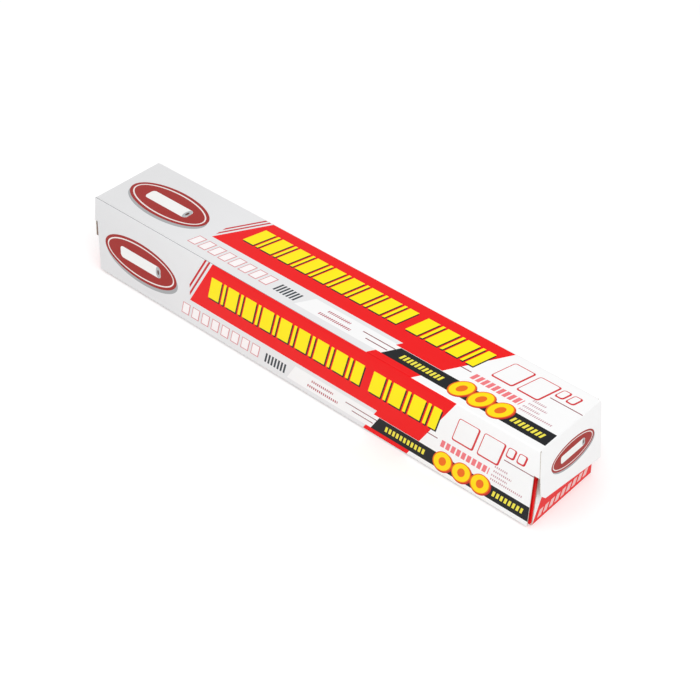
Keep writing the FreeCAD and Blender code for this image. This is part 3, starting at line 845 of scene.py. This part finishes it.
def fold_ear(lid, size, top, half, front, side):
    """One ear: slanted below, with a glue tab folded in behind the front flap."""
    lean = Vector((side * math.sin(size.ear_flare), 0, -math.cos(size.ear_flare)))
    web_foot = top - size.web * math.cos(size.flap_flare)
    tab_top, tab_foot = top - size.tab_top, top - size.tab_foot
    notch, free = front + size.notch, front - size.ear_lead
    low_front = top - size.ear_front * math.cos(size.ear_flare)
    low_back = top - size.ear_back * math.cos(size.ear_flare)

    def on_ear(co):
        return side * co.x > half - SLACK and co.y > notch - SLACK

    def under_web(co):
        return on_ear(co) and co.z < web_foot + SLACK

    def on_edge(co, level):
        return on_ear(co) and near(co.z, level) and near(co.y, notch)

    pick(lid, "EDGE", lambda co: near(co.x, side * half) and near(co.z, top) and co.y > notch - SLACK)
    extrude(lean * size.ear_back)
    slope = (0, low_back - low_front, free - HINGE.y)
    trim(lid, (side * half, free, low_front), slope, on_ear)
    for level in (web_foot, tab_foot, tab_top):
        cut(lid, (0, 0, level), (0, 0, 1), on_ear)
    back_gap, foot_slant, top_slant = 0.2 * MM, 2 * MM, 0.8 * MM
    shift(lid, (0, size.crease_run - back_gap, 0),
          lambda co: on_ear(co) and co.z < top - MM and near(co.y, HINGE.y - size.crease_run))
    for level in (tab_top, tab_foot):
        drift = tab_fold(size, front, top - level) - notch
        shift(lid, (0, drift, 0), lambda co: on_edge(co, level))
    shift(lid, (0, free - notch, 0), lambda co: under_web(co) and near(co.y, notch))
    trim(lid, (0, free, low_front + size.ear_corner), (0, -1, -1),
         lambda co: side * co.x > half and co.z < web_foot + SLACK)
    pick(lid, "EDGE", lambda co: side * co.x > half and co.y < tab_fold(size, front, 0) + SLACK
         and tab_foot - SLACK < co.z < tab_top + SLACK)
    extrude((-side * size.tab_reach, 0, 0))
    shift(lid, (0, 0, foot_slant), lambda co: 0 < side * co.x < half and near(co.z, tab_foot))
    shift(lid, (0, 0, -top_slant), lambda co: 0 < side * co.x < half and near(co.z, tab_top))


def round_folds(obj, size, holds):
    """Rounds the sharp folds that holds names to the outside radius of bent board."""
    pick(obj, "EDGE", holds)
    bpy.ops.mesh.bevel(offset=size.fold_radius, segments=size.fold_steps, affect="EDGES", profile=0.5)


class FOIL_OT_lid(bpy.types.Operator):
    """Folds the printed lid: top panel, front flap and two ears"""

    bl_idname = "foil_carton.lid"
    bl_label = "Lid"

    def execute(self, context):
        size, inks = context.scene.carton_sizes, context.scene.print_inks
        top = LID_HIGH.z
        half, front = lid_ends(size)
        lid = start_sheet("lid_board", (-half, front), (half, HINGE.y - size.crease_run), top)
        cut(lid, (0, front + size.notch, 0), (0, 1, 0), lambda co: True)
        fold_front_flap(lid, size, top, half, front)
        for side in (-1, 1):
            fold_ear(lid, size, top, half, front, side)

        def on_tab_fold(co):
            drop = top - co.z
            return near(co.y, tab_fold(size, front, drop)) and (
                size.tab_top - SLACK < drop < size.tab_foot + SLACK)

        round_folds(lid, size, lambda co: near(co.y, front) and near(co.z, top))
        for side in (-1, 1):
            round_folds(lid, size, lambda co: near(side * co.x, half) and near(co.z, top)
                        and co.y > front + size.notch - SLACK)
            round_folds(lid, size, lambda co: on_tab_fold(co) and side * co.x > half)
        finish_edit()
        # The flap repeats the top panel's print, 1.1 mm lower
        lower = 1.1 * MM
        main, ears, inner, cut_edge = range(4)
        panels = (
            (2, 1, main, lambda co: (co.x + half, HINGE.y - co.y)),
            (1, -1, main, lambda co: (co.x + half, (top - co.z) / math.cos(size.flap_flare) - lower)),
            (1, 1, main, lambda co: (co.x + half, HINGE.y - co.y)),
            (0, 1, ears, lambda co: (co.y, (top - co.z) / math.cos(size.ear_flare))),
            (0, -1, ears, lambda co: (-co.y, (top - co.z) / math.cos(size.ear_flare))),
        )
        inside, edge = board_materials(inks)
        lay_print(lid, panels, (lid_print(inks), ear_print(inks), inside, edge))
        thicken(lid, size.board, inner, cut_edge)
        smooth(lid)
        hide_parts("carton_lid")
        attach(lid, "lid")
        return {"FINISHED"}


def raise_wall(tray, size, deep, wall_side, height):
    """Raises the front or back wall in three bands. The middle one carries the dust flaps."""
    pick(tray, "EDGE", lambda co: near(co.y, wall_side * deep) and near(co.z, 0))
    for rise in (size.dust_foot, size.dust_height - size.dust_foot, height - size.dust_height):
        extrude((0, 0, rise))


def on_dust_fold(co, size, wall, deep, side, wall_side):
    """True on the fold between a wall and its dust flap."""
    return (near(co.x, side * wall) and near(co.y, wall_side * deep)
            and size.dust_foot - SLACK < co.z < size.dust_height + SLACK)


def fold_dust_flap(tray, size, wall, deep, side, wall_side):
    """Folds one dust flap in along the end wall, with slanted free edges."""
    pick(tray, "EDGE", lambda co: on_dust_fold(co, size, wall, deep, side, wall_side))
    extrude((0, -wall_side * size.dust_reach, 0))
    for level, rise in ((size.dust_foot, size.dust_taper), (size.dust_height, -size.dust_taper)):
        shift(tray, (0, 0, rise), lambda co: near(co.x, side * wall) and near(co.z, level)
              and near(co.y, wall_side * (deep - size.dust_reach)))


def fold_end_flap(tray, size, half, deep, top, side):
    """Folds one outer end flap up from the floor, relieved at its sides and cut at its top corners."""
    flap_top = top - size.end_drop
    pick(tray, "EDGE", lambda co: near(co.x, side * half) and near(co.z, 0))
    extrude((0, 0, size.dust_foot))
    extrude((0, 0, flap_top - size.dust_foot))
    for wall_side in (-1, 1):
        shift(tray, (0, -wall_side * size.end_relief, 0), lambda co: near(co.x, side * half)
              and co.z > 0.1 * MM and near(co.y, wall_side * deep))
    shift(tray, (0, size.end_taper, 0),
          lambda co: near(co.x, side * half) and near(co.z, flap_top) and co.y < 0)
    for wall_side, corner in ((-1, size.end_corner), (1, size.end_corner_back)):
        shoulder = (0, wall_side * (deep - size.end_relief), flap_top - corner)
        trim(tray, shoulder, (0, wall_side, 1),
             lambda co: near(co.x, side * half) and co.z > size.dust_foot - SLACK)


class FOIL_OT_tray(bpy.types.Operator):
    """Folds the printed tray: floor, walls, dust flaps and end flaps"""

    bl_idname = "foil_carton.tray"
    bl_label = "Tray"

    def execute(self, context):
        size, inks = context.scene.carton_sizes, context.scene.print_inks
        half, deep = TRAY_HIGH.x, TRAY_HIGH.y
        top = LID_HIGH.z
        # The dust flaps lie just inside the end flaps
        wall = half - size.board - 0.02 * MM
        tray = start_sheet("tray_board", (-half, -deep), (half, deep), 0)
        bpy.ops.mesh.select_all(action="SELECT")
        bpy.ops.mesh.flip_normals()
        for wall_side, height in ((-1, top - size.front_drop), (1, HINGE.z - size.crease_run)):
            raise_wall(tray, size, deep, wall_side, height)
        for side in (-1, 1):
            shift(tray, (side * (wall - half), 0, 0),
                  lambda co: near(co.x, side * half) and co.z > size.dust_foot - SLACK)
            for wall_side in (-1, 1):
                fold_dust_flap(tray, size, wall, deep, side, wall_side)
            fold_end_flap(tray, size, half, deep, top, side)

        round_folds(tray, size, lambda co: near(co.z, 0))
        for side in (-1, 1):
            for wall_side in (-1, 1):
                round_folds(tray, size, lambda co: on_dust_fold(co, size, wall, deep, side, wall_side))
            shift(tray, (-side * size.fold_radius, 0, 0), lambda co: near(side * co.x, wall)
                  and near(co.y, -deep) and co.z > size.dust_height + MM)
        lean_foot(tray, (0, -size.front_foot, 0), top - size.front_drop, lambda co: co.y < -deep + 5 * MM)
        for side in (-1, 1):
            lean_foot(tray, (side * size.end_foot, 0, 0), top - size.end_drop,
                      lambda co: side * co.x > wall - 1.5 * MM)
        finish_edit()
        ends, front, back, floor, inner, cut_edge = range(6)
        panels = (
            (2, -1, floor, lambda co: (co.x, co.y)), (2, 1, floor, lambda co: (co.x, co.y)),
            (1, -1, front, lambda co: (co.x, co.z)), (1, 1, back, lambda co: (co.x, co.z)),
            (0, 1, ends, lambda co: (co.y, co.z)), (0, -1, ends, lambda co: (-co.y, co.z)),
        )
        inside, edge = board_materials(inks)
        prints = (end_print(inks), plain_print("offset_printed_board_front", inks.red),
                  back_print(inks), plain_print("offset_printed_board_floor", inks.white))
        lay_print(tray, panels, (*prints, inside, edge))
        # What faces an end but lies inside it is a dust flap, which has the ink of its wall
        for face in tray.data.polygons:
            lean = size.end_foot * (1 - face.center.z / (top - size.end_drop))
            if abs(face.normal.x) > 0.7 and abs(face.center.x) < half + lean - 0.2 * MM:
                face.material_index = front if face.center.y < 0 else back
        thicken(tray, size.board, inner, cut_edge)
        smooth(tray)
        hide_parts("carton_tray")
        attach(tray, "tray")
        return {"FINISHED"}


class FOIL_OT_crease(bpy.types.Operator):
    """Bends the strip of board between the back wall and the lid"""

    bl_idname = "foil_carton.crease"
    bl_label = "Back crease"

    def execute(self, context):
        size, inks = context.scene.carton_sizes, context.scene.print_inks
        half = TRAY_HIGH.x - size.board
        back, top, run = HINGE.y, LID_HIGH.z, size.crease_run
        steps, lip = 8, 0.1 * MM
        strip = start_sheet("back_crease", (-half, back - run), (half, back - run + lip), top)
        point = Vector((0, back - run + lip, top))
        for step in range(1, steps + 1):
            angle = math.pi / 2 * step / steps
            target = Vector((0, back - run + run * math.sin(angle), top - run + run * math.cos(angle)))
            pick(strip, "EDGE", lambda co: near(co.y, point.y, 1e-6) and near(co.z, point.z, 1e-6))
            extrude(target - point)
            point = target
        finish_edit()
        inside, edge = board_materials(inks)
        panels = ((2, 1, 0, lambda co: (co.x, co.z)), (1, 1, 0, lambda co: (co.x, co.z)))
        lay_print(strip, panels, (plain_print("offset_printed_board_crease", inks.white), inside, edge))
        thicken(strip, size.board, 1, 2)
        smooth(strip)
        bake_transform(strip)
        return {"FINISHED"}


# A boss ring by ring, from its rim inwards: the ring's rise as a share of the boss's height, and its
# width as a share of the ring before. The punch leaves the middle dished.
STAKE_RINGS = ((0.7, 0.86), (0.3, 0.8), (0.0, 0.75), (-0.35, 0.7), (-0.1, 0.4))


class FOIL_OT_cutter(bpy.types.Operator):
    """Finishes the toothed steel cutter behind the lid's front flap, and presses its stakes"""

    bl_idname = "foil_carton.cutter"
    bl_label = "Cutter"

    def execute(self, context):
        size, lid = context.scene.cutter_sizes, context.scene.carton_sizes
        steel = tinplate()
        blade = frame["nodes"]["cutter_blade"]
        blade.data.materials.clear()
        blade.data.materials.append(steel)
        low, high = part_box("cutter_blade")
        level = low.z + (high.z - low.z) * size.stake_level
        inner = low.y + (level - low.z) * math.tan(lid.flap_flare) + size.gauge
        first = -size.stake_pitch * (size.stakes - 1) / 2
        stakes = [self.press_stake(size, Vector((first, inner - size.gauge / 4, level)))]
        for number in range(1, size.stakes):
            clear_selection()
            stakes[0].select_set(True)
            context.view_layer.objects.active = stakes[0]
            bpy.ops.object.duplicate(linked=False)
            bpy.ops.transform.translate(value=(number * size.stake_pitch, 0, 0))
            bpy.ops.object.transform_apply(location=True, rotation=False, scale=False)
            stakes.append(context.object)
        join(*stakes)
        stakes[0].name = stakes[0].data.name = "cutter_stakes"
        stakes[0].data.materials.append(steel)
        smooth(stakes[0], 40)
        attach(stakes[0], "lid")
        return {"FINISHED"}

    def press_stake(self, size, place):
        """One boss: a round rim raised from the steel, with a dished middle where the punch went in."""
        clear_selection()
        bpy.ops.mesh.primitive_circle_add(vertices=20, radius=size.stake, fill_type="NGON", location=place,
                                          rotation=(-math.pi / 2, 0, 0))
        stake = bpy.context.object
        bpy.ops.object.transform_apply(location=True, rotation=True, scale=True)
        bpy.ops.object.mode_set(mode="EDIT")
        bpy.ops.mesh.select_all(action="SELECT")
        for rise, width in STAKE_RINGS:
            extrude((0, rise * size.stake_rise, 0))
            bpy.ops.transform.resize(value=(width, 1, width), center_override=tuple(place))
        bpy.ops.mesh.select_all(action="SELECT")
        bpy.ops.mesh.normals_make_consistent(inside=False)
        finish_edit()
        return stake


def spin_profile(name, points, centre, steps):
    """Turns a line of points, given as (along X, radius), once round the roll's axis."""
    first = points[0]
    obj = start_sheet(name, (first[0] - MM, centre.y - MM), (first[0] + MM, centre.y + MM), centre.z)
    pick(obj, "VERT", lambda co: True)
    bpy.ops.mesh.merge(type="CENTER")
    bpy.ops.transform.translate(value=(0, 0, first[1]))
    for here, following in zip(points, points[1:]):
        extrude((following[0] - here[0], 0, following[1] - here[1]))
    bpy.ops.mesh.select_all(action="SELECT")
    bpy.ops.mesh.spin(steps=steps, angle=math.tau, center=centre, axis=(1, 0, 0))
    bpy.ops.mesh.select_all(action="SELECT")
    bpy.ops.mesh.remove_doubles(threshold=0.001 * MM)
    bpy.ops.mesh.normals_make_consistent(inside=False)
    finish_edit()
    if len(obj.data.polygons) < steps * (len(points) - 1):
        raise RuntimeError(f"{name}: the line wasn't turned all the way round")
    return obj


class FOIL_OT_roll(bpy.types.Operator):
    """Winds the foil: uneven turns on both ends and a smooth outside"""

    bl_idname = "foil_carton.roll"
    bl_label = "Foil roll"

    def execute(self, context):
        size = context.scene.roll_sizes
        middle = (FOIL_LOW + FOIL_HIGH) / 2
        outer = (FOIL_HIGH.z - FOIL_LOW.z) / 2
        inner = (TUBE_HIGH.z - TUBE_LOW.z) / 2 + 0.05 * MM
        chance = random.Random(7)
        half = FOIL_HIGH.x
        step = (outer - inner) / size.turns

        def end_points(side):
            points = []
            for turn in range(size.turns):
                reach = side * (half - chance.uniform(0, size.turn_play))
                radius = inner + turn * step
                points.append((reach - side * 0.1 * MM, radius))
                points.append((reach, radius + step * 0.3))
                points.append((reach, radius + step * 0.7))
            points.append((side * (half - 0.1 * MM), outer))
            return points

        left, right = end_points(-1), end_points(1)
        line = left + right[::-1] + [left[0]]
        roll = spin_profile("wound_foil", line, Vector((0, middle.y, middle.z)), size.steps)
        roll.data.materials.append(rolled_foil())
        smooth(roll, 50)
        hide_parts("foil_roll")
        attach(roll, "tray")
        return {"FINISHED"}


class FOIL_OT_loose_edge(bpy.types.Operator):
    """Lays the free end of the foil over the front of the roll, where it has sprung off a little"""

    bl_idname = "foil_carton.loose_edge"
    bl_label = "Loose foil edge"

    def execute(self, context):
        size = context.scene.roll_sizes
        middle = (FOIL_LOW + FOIL_HIGH) / 2
        outer = (FOIL_HIGH.z - FOIL_LOW.z) / 2
        steps, across = 30, 120
        # Angles from the roll's top towards the front: the sheet's root, where it leaves the roll,
        # and its free edge
        start, leave, end = math.radians(-25), math.radians(30), math.radians(74)
        first_step, clear, ripple_reach = 0.1 * MM, 0.08 * MM, 16 * MM

        def at(angle):
            free = max(0.0, (angle - leave) / (end - leave))
            radius = outer + clear + size.lift * free ** 2
            return Vector((0, middle.y - radius * math.sin(angle), middle.z + radius * math.cos(angle)))

        point = at(start)
        clear_selection()
        bpy.ops.mesh.primitive_grid_add(x_subdivisions=across, y_subdivisions=1, size=1,
                                        location=point + Vector((0, first_step / 2, 0)))
        sheet = context.object
        sheet.name = sheet.data.name = "loose_foil_edge"
        sheet.scale = (FOIL_HIGH.x - FOIL_LOW.x, first_step, 1)
        bpy.ops.object.transform_apply(location=True, rotation=False, scale=True)
        bpy.ops.object.mode_set(mode="EDIT")
        for step in range(1, steps + 1):
            target = at(start + (end - start) * step / steps)
            pick(sheet, "EDGE", lambda co: near(co.y, point.y, 0.001 * MM)
                 and near(co.z, point.z, 0.001 * MM))
            extrude(target - point)
            point = target
        chance = random.Random(11)
        for number in range(size.ripples):
            share = (number + chance.uniform(0.2, 0.8)) / size.ripples
            place = FOIL_LOW.x + (FOIL_HIGH.x - FOIL_LOW.x) * share
            ripple = (0, -chance.uniform(-0.25, 0.5) * MM, chance.uniform(0, 0.4) * MM)
            pick(sheet, "VERT", lambda co: near(co.y, point.y, MM) and near(co.z, point.z, MM)
                 and near(co.x, place, 2 * MM))
            bpy.ops.transform.translate(value=ripple, use_proportional_edit=True,
                                        proportional_edit_falloff="SMOOTH",
                                        proportional_size=ripple_reach)
        finish_edit()
        apply_modifier(sheet, "SOLIDIFY", thickness=0.06 * MM, offset=0)
        sheet.data.materials.append(bpy.data.materials["rolled_aluminium_foil"])
        smooth(sheet, 50)
        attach(sheet, "tray")
        return {"FINISHED"}


class FOIL_OT_tube(bpy.types.Operator):
    """Turns the card tube that the foil is wound on"""

    bl_idname = "foil_carton.tube"
    bl_label = "Card tube"

    def execute(self, context):
        size, inks = context.scene.roll_sizes, context.scene.print_inks
        middle = (TUBE_LOW + TUBE_HIGH) / 2
        outer, half, soft = (TUBE_HIGH.z - TUBE_LOW.z) / 2, TUBE_HIGH.x, 0.25 * MM
        left = [(-half + soft, size.bore), (-half, size.bore + soft),
                (-half, outer - soft), (-half + soft, outer)]
        right = [(-along, radius) for along, radius in left[::-1]]
        tube = spin_profile("card_tube", left + right + [left[0]], Vector((0, middle.y, middle.z)), 96)
        tube.data.materials.append(wound_card(inks))
        smooth(tube, 50)
        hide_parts("core_tube")
        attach(tube, "tray")
        return {"FINISHED"}


# Each lamp's place in metres, and how wide it is
KEY_LAMP = ((0.9, -0.66, 1.2), 1.2)
FILL_LAMP = ((-0.9, -0.9, 1.0), 1.4)
# What lifts the paper to white where the camera sees it, and where the floor starts and ends to fade
PAPER_LIFT = 0.27
FADE_FROM, FADE_TO = 0.45, 1.1


class FOIL_OT_stage(bpy.types.Operator):
    """Sets the white floor, soft lamps and the camera"""

    bl_idname = "foil_carton.stage"
    bl_label = "Stage"

    def execute(self, context):
        size = context.scene.stage_sizes
        clear_selection()
        bpy.ops.mesh.primitive_plane_add(size=8)
        floor = context.object
        floor.name = "floor"
        floor.data.materials.append(white_floor())
        self.light("key_lamp", *KEY_LAMP, size.key)
        self.light("fill_lamp", *FILL_LAMP, size.fill)
        self.room(context, size.room)
        back = Vector((math.sin(size.azimuth) * math.cos(size.elevation),
                       -math.cos(size.azimuth) * math.cos(size.elevation), math.sin(size.elevation)))
        bpy.ops.object.camera_add(location=size.stand)
        camera = context.object
        camera.name = "camera"
        turn = (-back).to_track_quat("-Z", "Y").to_matrix() @ Matrix.Rotation(size.roll, 3, "Z")
        camera.rotation_euler = turn.to_euler()
        camera.data.lens = size.lens
        camera.data.sensor_width = 36
        camera.data.clip_start = 10 * MM
        context.scene.camera = camera
        context.scene.view_settings.view_transform = "Standard"
        return {"FINISHED"}

    def light(self, name, place, across, power):
        """A square soft lamp that faces the middle of the carton."""
        bpy.ops.object.light_add(type="AREA", location=place)
        lamp = bpy.context.object
        lamp.name = name
        lamp.data.size = across
        lamp.data.energy = power
        lamp.rotation_euler = (-Vector(place)).to_track_quat("-Z", "Y").to_euler()

    def room(self, context, strength):
        """Even white light all round, seen as plain white behind the floor."""
        world = bpy.data.worlds.new("room")
        world.use_nodes = True
        tree = world.node_tree
        tree.nodes.clear()
        seen = seen_white(tree)
        level = add(tree, "ShaderNodeMapRange", {"Value": seen, "To Min": strength, "To Max": 1.0}).outputs[0]
        sky = add(tree, "ShaderNodeBackground", {"Color": (1, 1, 1, 1), "Strength": level})
        add(tree, "ShaderNodeOutputWorld", {"Surface": sky.outputs[0]})
        context.scene.world = world


def white_floor():
    """A white sweep of matt paper. The camera sees it lifted to white, with the carton's shadow kept.

    Away from the carton it turns as white as the room, so that no view shows where it ends.
    """
    material, tree = start_material("white_sweep")
    paper = add(tree, "ShaderNodeBsdfDiffuse", {"Color": colour("E8E8E8")})
    lift = add(tree, "ShaderNodeEmission", {"Color": (1, 1, 1, 1), "Strength": PAPER_LIFT})
    both = add(tree, "ShaderNodeAddShader", {0: paper.outputs[0], 1: lift.outputs[0]})
    white = add(tree, "ShaderNodeEmission", {"Color": (1, 1, 1, 1), "Strength": 1.0})
    place = add(tree, "ShaderNodeTexCoord").outputs["Object"]
    away = add(tree, "ShaderNodeVectorMath", {0: place}, operation="LENGTH").outputs["Value"]
    far = add(tree, "ShaderNodeMapRange", {"Value": away, "From Min": FADE_FROM, "From Max": FADE_TO},
              interpolation_type="SMOOTHSTEP").outputs[0]
    shown = add(tree, "ShaderNodeMixShader", {0: far, 1: both.outputs[0], 2: white.outputs[0]})
    seen = add(tree, "ShaderNodeMixShader", {0: seen_white(tree), 1: paper.outputs[0], 2: shown.outputs[0]})
    end_material(tree, seen.outputs[0])
    return material


def seen_white(tree):
    """1 for what the camera sees, by itself or in metal and through glass, and 0 for light on the carton."""
    path = add(tree, "ShaderNodeLightPath")
    seen = path.outputs["Is Camera Ray"]
    for way in ("Is Glossy Ray", "Is Transmission Ray"):
        seen = add(tree, "ShaderNodeMath", {0: seen, 1: path.outputs[way]}, operation="MAXIMUM").outputs[0]
    return seen


class FOIL_PT_panel(bpy.types.Panel):
    """Lists the pieces of the carton"""

    bl_idname = "FOIL_PT_panel"
    bl_label = "Foil Carton"
    bl_space_type = "VIEW_3D"
    bl_region_type = "UI"
    bl_category = "Foil Carton"

    def draw(self, context):
        for piece in PIECES:
            self.layout.operator(piece.bl_idname, text=piece.bl_label)
        for group in GROUPS:
            holder = getattr(context.scene, group)
            for name in holder.__annotations__:
                self.layout.prop(holder, name)


PIECES = (FOIL_OT_lid, FOIL_OT_tray, FOIL_OT_crease, FOIL_OT_cutter, FOIL_OT_roll, FOIL_OT_loose_edge,
          FOIL_OT_tube, FOIL_OT_stage)
GROUPS = {"carton_sizes": CartonSizes, "roll_sizes": RollSizes, "cutter_sizes": CutterSizes,
          "print_inks": PrintInks, "stage_sizes": StageSizes}


def register():
    """Adds the settings, the operators and the panel."""
    for name, group in GROUPS.items():
        bpy.utils.register_class(group)
        setattr(bpy.types.Scene, name, PointerProperty(type=group))
    for piece in (*PIECES, FOIL_PT_panel):
        bpy.utils.register_class(piece)


def unregister():
    """Takes away what register added."""
    for piece in (FOIL_PT_panel, *reversed(PIECES)):
        bpy.utils.unregister_class(piece)
    for name, group in GROUPS.items():
        delattr(bpy.types.Scene, name)
        bpy.utils.unregister_class(group)


def main():
    """Makes every piece and the stage."""
    register()
    for piece in PIECES:
        family, name = piece.bl_idname.split(".")
        getattr(getattr(bpy.ops, family), name)()
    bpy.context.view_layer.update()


if __name__ == "__main__":
    main()
